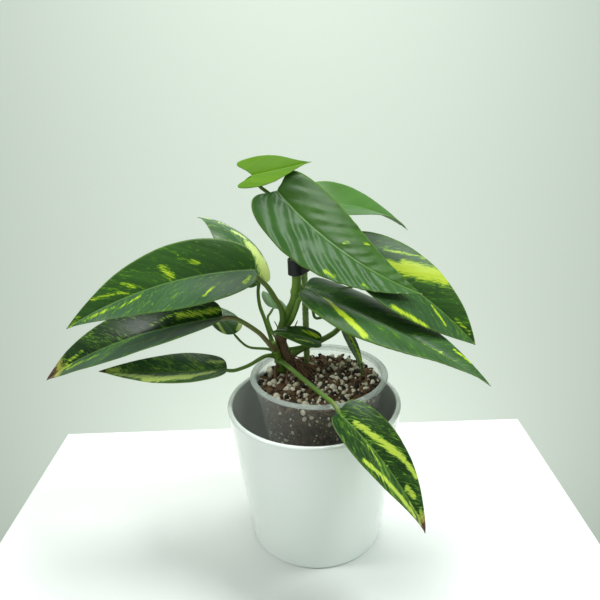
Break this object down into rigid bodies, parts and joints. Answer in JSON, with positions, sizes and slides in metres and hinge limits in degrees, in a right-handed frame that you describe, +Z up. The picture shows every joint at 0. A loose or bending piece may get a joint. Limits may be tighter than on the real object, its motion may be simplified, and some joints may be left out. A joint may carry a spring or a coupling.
{
  "type": "potted philodendron",
  "caption": "Leafy climbing houseplant with long pointed green and yellow marbled leaves, tied to a short stake in a clear nursery pot inside a white cover pot.",
  "frame": {"origin": "centre of the cover pot's flat base", "axes": "+Z up along the cover pot's axis; -Y is the front, where one leaf hangs over the rim; +X to the viewer's right"},
  "size_m": [0.3283, 0.1713, 0.2857],
  "materials": {
    "cover_pot_glaze": "smooth white glazed ceramic outside, dark grey glaze inside",
    "clear_plastic": "thin clear polypropylene with a rolled flange",
    "potting_mix": "loose brown bark and coconut husk with cream perlite and pumice grains",
    "stake_plastic": "pale green translucent plastic rod, satin",
    "band_rubber": "plain black soft band, satin",
    "stem": "green stem with brown node scars, slightly waxy",
    "petiole": "smooth green leaf stalk, browner where it faces the light",
    "root_bark": "dry brown fibrous root and sheath",
    "leaf": "waxy dark green blade with yellow and pale green marbling and fine side veins",
    "young_leaf": "glossy thin yellow-green young blade"
  },
  "bodies": {
    "root": {"cover_pot": "cover_pot_glaze", "nursery_pot": "clear_plastic", "potting_mix": "potting_mix", "support_stake": "stake_plastic", "tie_band": "band_rubber", "main_stem": "stem", "side_shoot": "stem", "root_front": "root_bark", "root_right": "root_bark", "root_back": "root_bark", "root_left": "root_bark", "old_sheath": "root_bark", "dry_tendril": "root_bark", "petiole_crown": "petiole", "petiole_front_top": "petiole", "petiole_back_right": "petiole", "petiole_right_banded": "petiole", "petiole_right_long": "petiole", "petiole_front_hanging": "petiole", "petiole_small_hanging": "petiole", "petiole_small_centre": "petiole", "petiole_left_upper": "petiole", "petiole_left_middle": "petiole", "petiole_left_lower": "petiole", "petiole_left_back": "petiole", "petiole_left_small": "petiole", "petiole_back_small": "petiole", "leaf_crown": "young_leaf", "leaf_front_top": "leaf", "leaf_back_right": "leaf", "leaf_right_banded": "leaf", "leaf_right_long": "leaf", "leaf_front_hanging": "leaf", "leaf_small_hanging": "leaf", "leaf_small_centre": "leaf", "leaf_left_upper": "leaf", "leaf_left_middle": "leaf", "leaf_left_lower": "leaf", "leaf_left_back": "leaf", "leaf_left_small": "leaf", "leaf_back_small": "leaf"}
  },
  "joints": []
}
